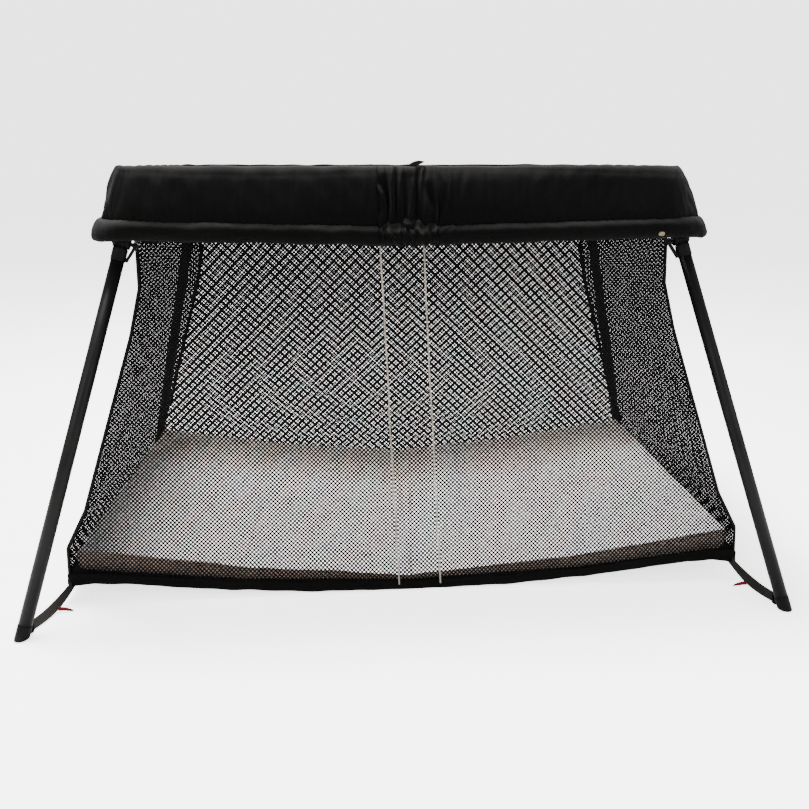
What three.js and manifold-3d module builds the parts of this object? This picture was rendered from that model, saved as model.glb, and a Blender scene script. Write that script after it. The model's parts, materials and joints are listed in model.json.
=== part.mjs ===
/**
 * Folding travel playpen: a padded two-part top rail on four splayed legs, net walls, and a folding mattress
 * on a fabric floor that hangs low between the feet.
 *
 * Millimetres, +Z up. +X runs along the long side, +Y from the near long side to the far one, and the origin
 * is on the floor at the middle. The object looks the same after half a turn about Z, so the right half is
 * the left half turned round.
 */
import * as THREE from 'three';
import { mergeVertices } from 'three/addons/utils/BufferGeometryUtils.js';
import Module from 'manifold-3d';

const wasm = await Module();
wasm.setup();

// ---------------------------------------------------------------- driving dimensions
const GAP = 0.4;                                 // air between two pieces that touch

const FOOT = { x: 559, y: 408 };                 // where a leg's axis meets the floor
const LEG_TOP = { x: 404, y: 243, z: 550 };      // where the same axis meets the rail
const LEG = { radius: 9.5, wall: 1.6 };
const PIVOT_Z = 537;                             // height of the pin that a leg folds about
const FOLDED_TOE = THREE.MathUtils.degToRad(3.4);     // folded legs cross side by side
const FOLDED_SLOPE = THREE.MathUtils.degToRad(7);     // and hang clear of the rail

const RAIL = { x: 442, y: 262, radius: 9, wall: 1.8, bend: 60, end: 34 };
const RAIL_MIDDLE_Z = 544.5;                     // height of the rail at the centre hinges
const RAIL_CORNER_Z = 555.5;                     // and at the two ends
const HINGE_Z = RAIL_MIDDLE_Z + 12;              // axis of the centre fold, just above the tubes

const RAIL_SIDES = 12;

const ROLL = { radius: 17, bore: 9.8, end: 43 }; // padding round the rail
const LEG_WINDOW = { x: 52, y: 44, z: 50 };      // room cut in the padding round a leg's joint
const BAND = { bottom: 574, top: 640, lean: 25, thickness: 14 };

const PIN_RADIUS = 3;
const HOLE_RADIUS = PIN_RADIUS + 0.3;

const WALL_THICKNESS = 2;
const WALL_TOP_Z = 532;
const LONG_WALL = { topX: 398, topY: 234, bottomX: 526, bottomY: 305 };
const END_WALL = { topX: 412, topY: 229, bottomX: 530, bottomY: 299, bottomZ: 42 };

const FOLD_X = 262;                              // fold line of the mattress and the floor in each half
const FLOOR = { halfWidth: 297, end: 520, thickness: 3 };
const FLOOR_TOP_Z = { middle: 4, fold: 13, end: 40 };
const MATTRESS = { halfWidth: 288, end: 516 };
const MATTRESS_THICKNESS = { middle: 10, fold: 26, end: 39 };   // pressed thin where it sags lowest

const STRAP = { width: 18, thickness: 2, footZ: 17, floorZ: 29 };
const RIBBON = { length: 15, width: 7, z: 17, fromFoot: 72 };
const BUTTON = { radius: 5, travel: 4, x: -23, z: RAIL_MIDDLE_Z + 1 };

// ---------------------------------------------------------------- materials
const LOOKS = {
  legTube: { color: 0x2c2c2e, roughness: 0.42, metalness: 0.6 },
  railTube: { color: 0x8f9194, roughness: 0.38, metalness: 0.9 },
  plastic: { color: 0x1c1c1e, roughness: 0.55, metalness: 0 },
  brass: { color: 0xa99a72, roughness: 0.4, metalness: 0.8 },
  steel: { color: 0x9a9c9e, roughness: 0.35, metalness: 0.9 },
  padding: { color: 0x17171a, roughness: 0.9, metalness: 0 },
  net: { color: 0x202022, roughness: 0.9, metalness: 0 },
  webbing: { color: 0x36373a, roughness: 0.85, metalness: 0 },
  mattress: { color: 0xd9cdb8, roughness: 0.92, metalness: 0 },
  ribbon: { color: 0x9a1f2f, roughness: 0.8, metalness: 0 },
  tape: { color: 0xb9af9f, roughness: 0.75, metalness: 0 },
  leather: { color: 0x3b2a22, roughness: 0.7, metalness: 0 },
  button: { color: 0x4a4b4e, roughness: 0.5, metalness: 0 },
};

// ---------------------------------------------------------------- solids
/** A curve through given points, stepped at exactly those points. */
class PointPath extends THREE.Curve {
  constructor(points) {
    super();
    this.points = points;
  }

  getUtoTmapping(u) {
    return u;
  }

  getPoint(t, target = new THREE.Vector3()) {
    const along = t * (this.points.length - 1);
    const i = Math.min(Math.floor(along + 1e-9), this.points.length - 2);
    return target.lerpVectors(this.points[i], this.points[i + 1], along - i);
  }

  getTangent(t, target = new THREE.Vector3()) {
    const last = this.points.length - 1;
    const i = Math.round(t * last);
    const before = this.points[Math.max(i - 1, 0)];
    const after = this.points[Math.min(i + 1, last)];
    const here = this.points[i];
    const away = after.clone().sub(here).normalize();
    return target.copy(here).sub(before).normalize().add(away).normalize();
  }
}

/** Turns a closed geometry into a solid that can be joined and cut. */
function solid(geometry) {
  const bare = geometry.clone();
  bare.deleteAttribute('normal');
  bare.deleteAttribute('uv');
  const merged = mergeVertices(bare, 1e-4);
  return new wasm.Manifold(new wasm.Mesh({
    numProp: 3,
    vertProperties: new Float32Array(merged.attributes.position.array),
    triVerts: new Uint32Array(merged.index.array),
  }));
}

/** The faces of a solid, as a geometry. */
function surface(body) {
  const mesh = body.getMesh();
  const geometry = new THREE.BufferGeometry();
  const positions = [];
  for (let i = 0; i < mesh.vertProperties.length; i += mesh.numProp) {
    positions.push(...mesh.vertProperties.slice(i, i + 3));
  }
  geometry.setAttribute('position', new THREE.Float32BufferAttribute(positions, 3));
  geometry.setIndex([...mesh.triVerts]);
  geometry.computeVertexNormals();
  return geometry;
}

const joined = (first, ...others) => others.reduce((whole, next) => whole.add(next), first);
const cut = (first, ...others) => others.reduce((whole, next) => whole.subtract(next), first);

/** A box between two corners. */
function block([x0, y0, z0], [x1, y1, z1]) {
  const box = new THREE.BoxGeometry(x1 - x0, y1 - y0, z1 - z0);
  return solid(box.translate((x0 + x1) / 2, (y0 + y1) / 2, (z0 + z1) / 2));
}

/** A round bar along an axis of the frame, from one place on it to another. */
function bar(axis, radius, from, to, sides = 16) {
  const rod = new THREE.CylinderGeometry(radius, radius, to - from, sides);
  rod.translate(0, (from + to) / 2, 0);
  if (axis === 'x') rod.rotateZ(-Math.PI / 2);
  if (axis === 'z') rod.rotateX(Math.PI / 2);
  return solid(rod);
}

const polygon = (points) => new THREE.Shape(points.map(([x, y]) => new THREE.Vector2(x, y)));

/** A regular ring of points, as a shape's outline. */
function ringPoints(radius, sides) {
  return Array.from({ length: sides }, (_, i) => {
    const angle = (2 * Math.PI * i) / sides;
    return [radius * Math.cos(angle), radius * Math.sin(angle)];
  });
}

/** A round section, hollow if it has a bore. */
function roundSection(radius, sides, bore = 0) {
  const section = polygon(ringPoints(radius, sides));
  if (bore) section.holes.push(polygon(ringPoints(bore, sides)));
  return section;
}

/** Pushes an outline in the XZ plane through from one y to another. */
function plateY(outline, fromY, toY) {
  const plate = new THREE.ExtrudeGeometry(outline, { depth: toY - fromY, bevelEnabled: false });
  plate.rotateX(Math.PI / 2);
  return plate.translate(0, toY, 0);
}

const sweep = (section, path) => new THREE.ExtrudeGeometry(section, {
  extrudePath: path,
  steps: path.points.length - 1,
  bevelEnabled: false,
});

/** The matrix that takes x, y and z to three given directions, and the origin to a point. */
const frameAt = (x, y, z, origin) => new THREE.Matrix4().makeBasis(x, y, z).setPosition(origin);

const vec = (x, y, z) => new THREE.Vector3(x, y, z);

function named(name, geometry, look) {
  const mesh = new THREE.Mesh(geometry, new THREE.MeshStandardMaterial(LOOKS[look]));
  mesh.name = name;
  return mesh;
}

// ---------------------------------------------------------------- rail and padding
const railHeight = (x) => RAIL_MIDDLE_Z + ((RAIL_CORNER_Z - RAIL_MIDDLE_Z) * Math.abs(x)) / RAIL.x;

/** The left half's U, from its near end round both bends to its far end. */
function uPath(endX, heightAt) {
  const points = [];
  const add = (x, y) => points.push(vec(x, y, heightAt(x)));
  const centre = { x: RAIL.x - RAIL.bend, y: RAIL.y - RAIL.bend };
  const bendSteps = 5;
  add(-endX, -RAIL.y);
  for (const side of [-1, 1]) {
    for (let i = 0; i <= bendSteps; i += 1) {
      const quarter = (Math.PI / 2) * (i / bendSteps);
      const angle = side < 0 ? quarter : Math.PI / 2 - quarter;
      add(-centre.x - RAIL.bend * Math.sin(angle), side * (centre.y + RAIL.bend * Math.cos(angle)));
    }
  }
  add(-endX, RAIL.y);
  return new PointPath(points);
}

const railSection = roundSection(RAIL.radius, RAIL_SIDES, RAIL.radius - RAIL.wall);
const railTube = sweep(railSection, uPath(RAIL.end, railHeight));
const clearSection = roundSection(RAIL.radius + GAP, RAIL_SIDES);
const railClearance = solid(sweep(clearSection, uPath(RAIL.end, railHeight)));

/** A leaning slab with a rounded top, drawn as [down, out] points for the sweep. */
function bandSection() {
  const half = BAND.thickness / 2;
  const top = -BAND.top;
  return polygon([
    [-BAND.bottom, -half],
    [-BAND.bottom, half],
    [top + half, half - BAND.lean],
    [top, half * 0.4 - BAND.lean],
    [top, -half * 0.4 - BAND.lean],
    [top + half, -half - BAND.lean],
  ]);
}

const band = sweep(bandSection(), uPath(ROLL.end, () => 0));

/** The gathered cover over one centre hinge, open at both ends. */
function centreSleeve(side) {
  const outer = [
    [-16, 527], [16, 527], [19.5, 532], [19.5, 572], [12, 582], [-19, BAND.top], [-31, BAND.top],
    [-13, 582], [-19.5, 572], [-19.5, 532],
  ];
  const inner = [[-15.5, 531.2], [-15.5, 573], [15.5, 573], [15.5, 531.2]];
  const section = polygon(outer);
  section.holes.push(polygon(inner));
  const halfLength = ROLL.end - 1;
  const sleeve = new THREE.ExtrudeGeometry(section, { depth: 2 * halfLength, bevelEnabled: false });
  sleeve.translate(0, 0, -halfLength);
  sleeve.applyMatrix4(frameAt(vec(0, side, 0), vec(0, 0, 1), vec(side, 0, 0), vec(0, side * RAIL.y, 0)));
  return sleeve;
}

// ---------------------------------------------------------------- centre hinges
const EAR_RADIUS = 10;
const HINGE_HALF_WIDTH = 9;
const TONGUE_HALF_WIDTH = 4.1;
const SWING_ROOM = 1.5;                          // between an ear's end and the part that faces it
const SPIGOT = { length: 26, middle: 9 };        // its middle is this far inside the rail
const CUT_Z = { from: 500, to: 600 };            // well below and above the hinge

/** The side view of either hinge fitting, drawn to the left of its axis. */
function hingeOutline() {
  const top = HINGE_Z - 2.2;
  return polygon([
    [-RAIL.end + GAP, RAIL_MIDDLE_Z - 8], [-12, RAIL_MIDDLE_Z - 8], [0, HINGE_Z - EAR_RADIUS],
    [0, HINGE_Z], [-8, top], [-RAIL.end + GAP, top],
  ]);
}

/** A hinge fitting's outline, eye and the spigot that plugs into the rail, at y = 0. */
function hingeBlank() {
  const plate = solid(plateY(hingeOutline(), -HINGE_HALF_WIDTH, HINGE_HALF_WIDTH));
  const eye = bar('y', EAR_RADIUS, -HINGE_HALF_WIDTH, HINGE_HALF_WIDTH);
  const slope = Math.atan2(RAIL_CORNER_Z - RAIL_MIDDLE_Z, RAIL.x);
  const spigotRadius = RAIL.radius - RAIL.wall - GAP;
  const spigot = new THREE.CylinderGeometry(spigotRadius, spigotRadius, SPIGOT.length, RAIL_SIDES);
  const spigotX = RAIL.end + SPIGOT.middle;
  spigot.rotateZ(Math.PI / 2).rotateY(slope);
  spigot.translate(-spigotX, 0, railHeight(spigotX));
  return joined(plate, eye.translate([0, 0, HINGE_Z]), solid(spigot));
}

const pinHole = bar('y', HOLE_RADIUS, -40, 40).translate([0, 0, HINGE_Z]);

/** The rail's left hinge fitting: two ears, with a pocket for the lock button in its outer face. */
function hingeClevis(side) {
  const cheek = TONGUE_HALF_WIDTH + GAP;
  const slot = block([-EAR_RADIUS - SWING_ROOM, -cheek, CUT_Z.from], [RAIL.end, cheek, CUT_Z.to]);
  const reach = [side < 0 ? -HINGE_HALF_WIDTH - 1 : -1, side < 0 ? 1 : HINGE_HALF_WIDTH + 1];
  const pocket = bar('y', BUTTON.radius + GAP, ...reach).translate([BUTTON.x, 0, BUTTON.z]);
  return surface(cut(hingeBlank(), slot, pinHole, pocket)).translate(0, side * RAIL.y, 0);
}

/** The right fitting: one tongue, which turns between the ears. */
function hingeKnuckle(side) {
  const beyond = HINGE_HALF_WIDTH + 1;
  const inner = [-EAR_RADIUS - SWING_ROOM, TONGUE_HALF_WIDTH, CUT_Z.from];
  const cheek = block(inner, [RAIL.end, beyond, CUT_Z.to]);
  const otherCheek = cheek.translate([0, -beyond - TONGUE_HALF_WIDTH, 0]);
  return surface(cut(hingeBlank(), cheek, otherCheek, pinHole)).translate(0, side * RAIL.y, 0);
}

/** A pin with a flat head at each end, along y. */
function headedPin(from, to, headRadius = 4.6, headDepth = 1.8) {
  const profile = [
    [0, from - headDepth], [headRadius, from - headDepth], [headRadius, from], [PIN_RADIUS, from],
    [PIN_RADIUS, to], [headRadius, to], [headRadius, to + headDepth], [0, to + headDepth],
  ];
  return new THREE.LatheGeometry(profile.map(([r, y]) => new THREE.Vector2(r, y)), 12);
}

const hingePin = (side) => headedPin(-HINGE_HALF_WIDTH - GAP, HINGE_HALF_WIDTH + GAP)
  .translate(0, side * RAIL.y, HINGE_Z);

/** The sprung button that frees the centre hinge, with a domed outer end. */
function lockButton(side) {
  const stem = BUTTON.radius;
  const outer = HINGE_HALF_WIDTH + BUTTON.travel + 1;
  const inner = BUTTON.travel + GAP;
  const profile = [[0, inner], [stem, inner], [stem, outer - 1.5], [stem - 1.5, outer], [0, outer]];
  const button = new THREE.LatheGeometry(profile.map(([r, y]) => new THREE.Vector2(r, y)), 14);
  if (side < 0) button.rotateX(Math.PI);
  return button.translate(BUTTON.x, side * RAIL.y, BUTTON.z);
}

// ---------------------------------------------------------------- legs
/** Where the left leg on one side stands, pivots and folds to, and the frames of its parts. */
function legLayout(side) {
  const foot = vec(-FOOT.x, side * FOOT.y, 0);
  const top = vec(-LEG_TOP.x, side * LEG_TOP.y, LEG_TOP.z);
  const down = foot.clone().sub(top).normalize();
  const pivot = foot.clone().lerp(top, PIVOT_Z / LEG_TOP.z);
  const level = Math.cos(FOLDED_SLOPE);
  const folded = vec(
    side * Math.sin(FOLDED_TOE) * level,
    -side * Math.cos(FOLDED_TOE) * level,
    -Math.sin(FOLDED_SLOPE),
  );
  const pin = down.clone().cross(folded).normalize();
  const up = down.clone().negate();
  const acrossBracket = vec(0, 0, 1).cross(pin).normalize();
  return {
    pivot,
    inward: -side,
    length: pivot.distanceTo(foot),
    leg: frameAt(pin, up.clone().cross(pin), up, pivot),
    bracket: frameAt(pin, acrossBracket, pin.clone().cross(acrossBracket), pivot),
  };
}

const HEAD = {
  radius: 8.5, halfWidth: 5.5, sleeveRadius: 11.1, sleeveTop: -9.6, socketTop: -13, sleeveBottom: -34,
};
const BRACKET = { halfX: 11, halfY: 8.5, top: 22, slotHalf: 5.9, slotTop: 9.6 };
const EYE = { from: 16, to: 20, radius: 6 };     // the brace's eye, beyond the bracket's inner ear

/** The saddle under the rail's bend, with two ears for a leg's pin. */
function bracket({ bracket: frame }) {
  const body = block([-BRACKET.halfX, -BRACKET.halfY, 0], [BRACKET.halfX, BRACKET.halfY, BRACKET.top]);
  const ears = bar('x', BRACKET.halfY, -BRACKET.halfX, BRACKET.halfX);
  const slot = block([-BRACKET.slotHalf, -20, -20], [BRACKET.slotHalf, 20, BRACKET.slotTop]);
  const hole = bar('x', HOLE_RADIUS, -30, 30);
  const whole = cut(joined(body, ears), slot, hole);
  return cut(whole.transform(frame.elements), railClearance);
}

/** The moulded head of a leg: an eye between the ears, a sleeve round the tube, and a side brace. */
function legHead({ leg: frame, inward }) {
  const eye = bar('x', HEAD.radius, -HEAD.halfWidth, HEAD.halfWidth);
  const neck = block([-HEAD.halfWidth, -7, HEAD.socketTop], [HEAD.halfWidth, 7, 0]);
  const sleeve = bar('z', HEAD.sleeveRadius, HEAD.sleeveBottom, HEAD.sleeveTop);
  const socket = bar('z', LEG.radius + GAP, HEAD.sleeveBottom - 1, HEAD.socketTop);
  const outline = [
    [EYE.from, 0], [EYE.to, 0], [EYE.to, -5], [12.6, HEAD.sleeveBottom], [10.3, HEAD.sleeveBottom],
    [10.3, HEAD.sleeveBottom + 6], [EYE.from, -7],
  ];
  const arm = solid(plateY(polygon(outline), -4, 4));
  const brace = joined(arm, bar('x', EYE.radius, EYE.from, EYE.to));
  const side = inward > 0 ? brace : brace.mirror([1, 0, 0]);
  const hole = bar('x', HOLE_RADIUS, -40, 40);
  return surface(cut(joined(eye, neck, sleeve, side), socket, hole)).applyMatrix4(frame);
}

/** The pin through bracket, head and brace, with its shop head on the inner side. */
function pivotPin({ leg: frame, inward }) {
  const outerEnd = -BRACKET.halfX - GAP;
  const pin = headedPin(outerEnd, EYE.to + GAP, 4.6, 1.8).rotateZ(-Math.PI / 2);
  if (inward < 0) pin.rotateY(Math.PI);
  return pin.applyMatrix4(frame);
}

const FOOT_CAP = { radius: 10.4, centreZ: 9, collar: 12, spigot: 26 };

function legTube({ leg: frame, length }) {
  const section = roundSection(LEG.radius, 16, LEG.radius - LEG.wall);
  const from = -length + FOOT_CAP.centreZ + FOOT_CAP.collar + GAP;
  const to = HEAD.socketTop - GAP;
  const tube = new THREE.ExtrudeGeometry(section, { depth: to - from, bevelEnabled: false });
  return tube.translate(0, 0, from).applyMatrix4(frame);
}

/** The direction, level with the floor, from a foot to its corner of the fabric floor. */
const strapWay = (side) => vec(FOOT.x - FLOOR.end, side * (FLOOR.halfWidth - FOOT.y), 0).normalize();

const LUG = { reach: 24, slotFrom: 17.5, slotTo: 20.5, halfWidth: 4, bottom: 3, top: 29 };

/** The rounded foot with a flat sole, a spigot into the tube, and the loop that holds the floor strap. */
function footCap({ leg: frame, length }, side) {
  const centre = -length + FOOT_CAP.centreZ;
  const top = centre + FOOT_CAP.collar;
  const ball = solid(new THREE.SphereGeometry(FOOT_CAP.radius, 14, 9)).translate([0, 0, centre]);
  const collar = bar('z', FOOT_CAP.radius - 0.3, centre, top);
  const spigot = bar('z', LEG.radius - LEG.wall - GAP, centre, top + FOOT_CAP.spigot, 14);
  const tubeRoom = bar('z', LEG.radius + GAP, top, top + 60);
  const way = strapWay(side);
  const lugFrame = frameAt(way, vec(0, 0, 1).cross(way), vec(0, 0, 1), vec(-FOOT.x, side * FOOT.y, 0));
  const lug = block([0, -LUG.halfWidth, LUG.bottom], [LUG.reach, LUG.halfWidth, LUG.top]);
  const slot = block([LUG.slotFrom, -9, LUG.bottom + 3], [LUG.slotTo, 9, LUG.top - 3]);
  const loop = cut(lug, slot).transform(lugFrame.elements).subtract(tubeRoom.transform(frame.elements));
  const underFloor = block([-700, -600, -40], [700, 600, 0]);
  const upright = joined(ball, collar, spigot).transform(frame.elements);
  return surface(cut(joined(upright, loop), underFloor));
}

/** Webbing from the foot's loop to the corner of the floor, standing on edge. */
function strap(side) {
  const start = vec(-FOOT.x, side * FOOT.y, STRAP.footZ).addScaledVector(strapWay(side), LUG.reach + 2.5);
  const end = vec(-FLOOR.end - 4, side * (FLOOR.halfWidth + 9), STRAP.floorZ);
  const along = end.clone().sub(start);
  const web = new THREE.BoxGeometry(along.length(), STRAP.thickness, STRAP.width);
  const x = along.clone().normalize();
  const y = vec(0, 0, 1).cross(x).normalize();
  return web.applyMatrix4(frameAt(x, y, x.clone().cross(y), start.add(end).multiplyScalar(0.5)));
}

/** The small ribbon sewn to the strap's lower edge, pointing under the floor. */
function strapRibbon(side) {
  const onStrap = vec(-FOOT.x, side * FOOT.y, 0).addScaledVector(strapWay(side), RIBBON.fromFoot);
  const ribbon = new THREE.BoxGeometry(RIBBON.length, 2, RIBBON.width);
  return ribbon.translate(onStrap.x + RIBBON.length / 2 + 3, onStrap.y, RIBBON.z);
}

// ---------------------------------------------------------------- net walls, floor and mattress
/** A flat panel: an outline in a plane given by two directions and an origin, made thick both ways. */
function panel(outline, along, downWay, origin, thickness) {
  const plate = new THREE.ExtrudeGeometry(polygon(outline), { depth: thickness, bevelEnabled: false });
  plate.translate(0, 0, -thickness / 2);
  return plate.applyMatrix4(frameAt(along, downWay, along.clone().cross(downWay), origin));
}

const longWallDrop = (side) => vec(
  0,
  side * (LONG_WALL.bottomY - LONG_WALL.topY),
  FLOOR_TOP_Z.middle - WALL_TOP_Z,
);

/** Distance down the long wall's slope to a height. */
const downLongWall = (z) => ((WALL_TOP_Z - z) / (WALL_TOP_Z - FLOOR_TOP_Z.middle)) * longWallDrop(1).length();

/** Half of a long net wall. Points are [x outward from the middle, distance down]. */
function longWall(side) {
  const outline = [
    [0.5, 0], [LONG_WALL.topX, 0], [LONG_WALL.bottomX, downLongWall(FLOOR_TOP_Z.end)],
    [FOLD_X, downLongWall(FLOOR_TOP_Z.fold)], [0.5, downLongWall(FLOOR_TOP_Z.middle)],
  ];
  const points = outline.map(([x, d]) => [-side * x, d]);
  const along = vec(side, 0, 0);
  const origin = vec(0, side * LONG_WALL.topY, WALL_TOP_Z);
  return panel(points, along, longWallDrop(side).normalize(), origin, WALL_THICKNESS);
}

function endWall() {
  const drop = vec(END_WALL.topX - END_WALL.bottomX, 0, END_WALL.bottomZ - WALL_TOP_Z);
  const length = drop.length();
  const outline = [
    [-END_WALL.topY, 0], [END_WALL.topY, 0], [END_WALL.bottomY, length], [-END_WALL.bottomY, length],
  ];
  return panel(outline, vec(0, 1, 0), drop.normalize(), vec(-END_WALL.topX, 0, WALL_TOP_Z), WALL_THICKNESS);
}

/** The light tape down a long wall, from one distance off the middle to another. */
function tape(topX, bottomX) {
  const half = 2;
  const bottom = downLongWall(FLOOR_TOP_Z.middle + 3);
  const outline = [
    [-topX - half, 2], [-topX + half, 2], [-bottomX + half, bottom], [-bottomX - half, bottom],
  ];
  const drop = longWallDrop(-1).normalize();
  const clear = (WALL_THICKNESS + 0.8) / 2 + GAP;
  const outward = drop.clone().cross(vec(1, 0, 0));
  const origin = vec(0, -LONG_WALL.topY, WALL_TOP_Z).addScaledVector(outward, -clear);
  return panel(outline, vec(1, 0, 0), drop, origin, 0.8);
}

function floor() {
  const top = [[-0.5, FLOOR_TOP_Z.middle], [-FOLD_X, FLOOR_TOP_Z.fold], [-FLOOR.end, FLOOR_TOP_Z.end]];
  const under = top.map(([x, z]) => [x, z - FLOOR.thickness]).reverse();
  return plateY(polygon([...top, ...under]), -FLOOR.halfWidth, FLOOR.halfWidth);
}

/** A mattress panel with softened edges, lying on the floor's slope. Each end is [x, floor z, thickness]. */
function mattressPanel([fromX, fromZ, fromDepth], [toX, toZ, toDepth]) {
  const run = Math.hypot(toX - fromX, toZ - fromZ);
  const soft = 5;
  const crease = 2;
  const outline = [
    [0, soft], [soft, 0], [run - soft, 0], [run, soft], [run, toDepth - crease], [run - crease, toDepth],
    [crease, fromDepth], [0, fromDepth - crease],
  ];
  const pad = plateY(polygon(outline.map(([x, z]) => [-x, z])), -MATTRESS.halfWidth, MATTRESS.halfWidth);
  pad.rotateY(Math.atan2(toZ - fromZ, toX - fromX));
  return pad.translate(-fromX, 0, fromZ + 1);
}

/** A value given at the middle, the fold and the outer end, at a distance from the middle. */
function alongFloor({ middle, fold, end }, x) {
  if (x < FOLD_X) return middle + ((fold - middle) * x) / FOLD_X;
  return fold + ((end - fold) * (x - FOLD_X)) / (FLOOR.end - FOLD_X);
}

const padEnd = (x) => [x, alongFloor(FLOOR_TOP_Z, x), alongFloor(MATTRESS_THICKNESS, x)];
const innerPad = mattressPanel(padEnd(2), padEnd(FOLD_X - 2.5));
const endPad = mattressPanel(padEnd(FOLD_X + 2.5), padEnd(MATTRESS.end));

// ---------------------------------------------------------------- the object
/**
 * One half, as named meshes drawn on the left. sideNames gives the name of the side at -y and at +y, which
 * trade places when the half is turned round to be the right one.
 */
function half(own, sideNames) {
  const whole = new THREE.Group();
  const add = (name, geometry, look) => whole.add(named(name, geometry, look));
  const windows = [];
  for (const side of [-1, 1]) {
    const label = `${sideNames[side]}_${own}`;
    const layout = legLayout(side);
    const saddle = bracket(layout);
    const window = new THREE.BoxGeometry(LEG_WINDOW.x, LEG_WINDOW.y, LEG_WINDOW.z);
    windows.push(solid(window.translate(layout.pivot.x, layout.pivot.y, PIVOT_Z)));
    add(`${label}_bracket`, surface(saddle), 'plastic');
    add(`${label}_pivot_pin`, pivotPin(layout), 'brass');
    add(`${label}_leg_head`, legHead(layout), 'plastic');
    add(`${label}_leg_tube`, legTube(layout), 'legTube');
    add(`${label}_foot`, footCap(layout, side), 'plastic');
    add(`${label}_strap`, strap(side), 'webbing');
    add(`${label}_wall`, longWall(side), 'net');
    add(`${label}_strap_ribbon`, strapRibbon(side), 'ribbon');
  }
  const rollSection = roundSection(ROLL.radius, RAIL_SIDES, ROLL.bore);
  const roll = cut(solid(sweep(rollSection, uPath(ROLL.end, railHeight))), ...windows);
  add(`${own}_rail`, railTube.clone(), 'railTube');
  add(`${own}_roll`, surface(roll), 'padding');
  add(`${own}_band`, band.clone(), 'padding');
  add(`${own}_end_wall`, endWall(), 'net');
  add(`${own}_floor`, floor(), 'padding');
  add(`mattress_${own}_inner`, innerPad.clone(), 'mattress');
  add(`mattress_${own}_end`, endPad.clone(), 'mattress');
  return { whole, add };
}

const playpen = new THREE.Group();
const left = half('left', { [-1]: 'near', [1]: 'far' });
const right = half('right', { [-1]: 'far', [1]: 'near' });
right.whole.rotation.z = Math.PI;
playpen.add(left.whole, right.whole);

for (const side of [-1, 1]) {
  const name = side < 0 ? 'near' : 'far';
  left.add(`${name}_hinge_clevis`, hingeClevis(side), 'plastic');
  right.add(`${side < 0 ? 'far' : 'near'}_hinge_knuckle`, hingeKnuckle(side), 'plastic');
  left.add(`${name}_hinge_pin`, hingePin(side), 'steel');
  left.add(`${name}_lock_button`, lockButton(side), 'button');
  left.add(`${name}_centre_sleeve`, centreSleeve(side), 'padding');
}
left.add('near_left_tape', tape(40, 19), 'tape');
left.add('near_right_tape', tape(-24, -46), 'tape');

const TAB = { width: 20, thickness: 3, height: 6, x: 10 };
const tabGeometry = new THREE.BoxGeometry(TAB.width, TAB.thickness, TAB.height);
const tabY = BAND.lean - RAIL.y;
left.add('pull_tab', tabGeometry.translate(TAB.x, tabY, BAND.top + GAP + TAB.height / 2), 'leather');

export default playpen;
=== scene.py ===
"""Folding travel playpen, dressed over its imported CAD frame. Metres, +Z up, +X along the long side."""
import json
import math

import bmesh
import bpy
import numpy as np
from mathutils import Matrix, Vector


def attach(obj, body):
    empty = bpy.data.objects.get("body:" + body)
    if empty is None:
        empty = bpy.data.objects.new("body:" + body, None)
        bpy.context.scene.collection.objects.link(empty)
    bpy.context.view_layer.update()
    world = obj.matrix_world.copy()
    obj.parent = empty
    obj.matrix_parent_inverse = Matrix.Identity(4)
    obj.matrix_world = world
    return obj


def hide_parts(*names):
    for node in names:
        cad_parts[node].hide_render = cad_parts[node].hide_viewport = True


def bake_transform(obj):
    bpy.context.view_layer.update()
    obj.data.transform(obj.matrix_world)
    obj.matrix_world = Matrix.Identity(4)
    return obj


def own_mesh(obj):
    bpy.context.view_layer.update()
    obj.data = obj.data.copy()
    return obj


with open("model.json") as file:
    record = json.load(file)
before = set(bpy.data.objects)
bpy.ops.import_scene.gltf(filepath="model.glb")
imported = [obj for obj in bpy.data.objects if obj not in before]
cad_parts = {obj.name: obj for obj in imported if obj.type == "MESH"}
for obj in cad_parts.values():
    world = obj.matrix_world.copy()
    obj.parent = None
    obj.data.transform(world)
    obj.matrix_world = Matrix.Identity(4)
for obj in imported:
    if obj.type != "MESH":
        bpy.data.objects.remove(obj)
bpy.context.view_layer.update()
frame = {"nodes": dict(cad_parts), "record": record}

# ------------------------ sizes shared with the frame
UP = (0.0, 0.0, 1.0)
SIDES = {"near": -1, "far": 1}
HALVES = {"left": -1, "right": 1}

RAIL_X, RAIL_Y, RAIL_BEND = 0.442, 0.262, 0.060
BEND_X = 0.385  # where the padding starts to turn the corner
RAIL_MIDDLE_Z, RAIL_CORNER_Z = 0.5445, 0.5555
ROLL_RADIUS = 0.0143
ROLL_SEAMS = (1.75, 4.55)  # their angles round the roll, from straight outward
SLEEVE_HALF, SLEEVE_BEND = 0.042, 0.030  # half its length, and half the length that bends
SLEEVE_EASE = 0.012  # how far from its ends the sleeve widens
SEAM_GAP = 0.0006
BAND_TOP, BAND_LEAN = 0.6415, 0.025
FOOT_X, FOOT_Y = 0.559, 0.408
LEG_TOP = Vector((0.404, 0.243, 0.550))
HEAD_X, HEAD_Y = 0.386, 0.228  # a leg's head stands beyond these, towards the corner
LEG_RADIUS = 0.0095
FOOT_RADIUS, FOOT_RIM = 0.0100, 0.0018
TUBE_ABOVE_SOLE, TUBE_BELOW_PIVOT = 0.0214, 0.0134
FOLD_TOE, FOLD_SLOPE = math.radians(3.4), math.radians(7)
PIVOT_Z = 0.537
FLOOR_X, FLOOR_Y = 0.520, 0.297
BACKDROP_GLOW = 1.9  # how much brighter the backdrop looks than it lights
FLOOR_GLOW, WORLD_GLOW = 1.2 * BACKDROP_GLOW, 1.13 * BACKDROP_GLOW


def rail_height(x):
    """Height of the rail's centre line, which dips towards the middle."""
    return RAIL_MIDDLE_Z + (RAIL_CORNER_Z - RAIL_MIDDLE_Z) * np.abs(x) / RAIL_X


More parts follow.
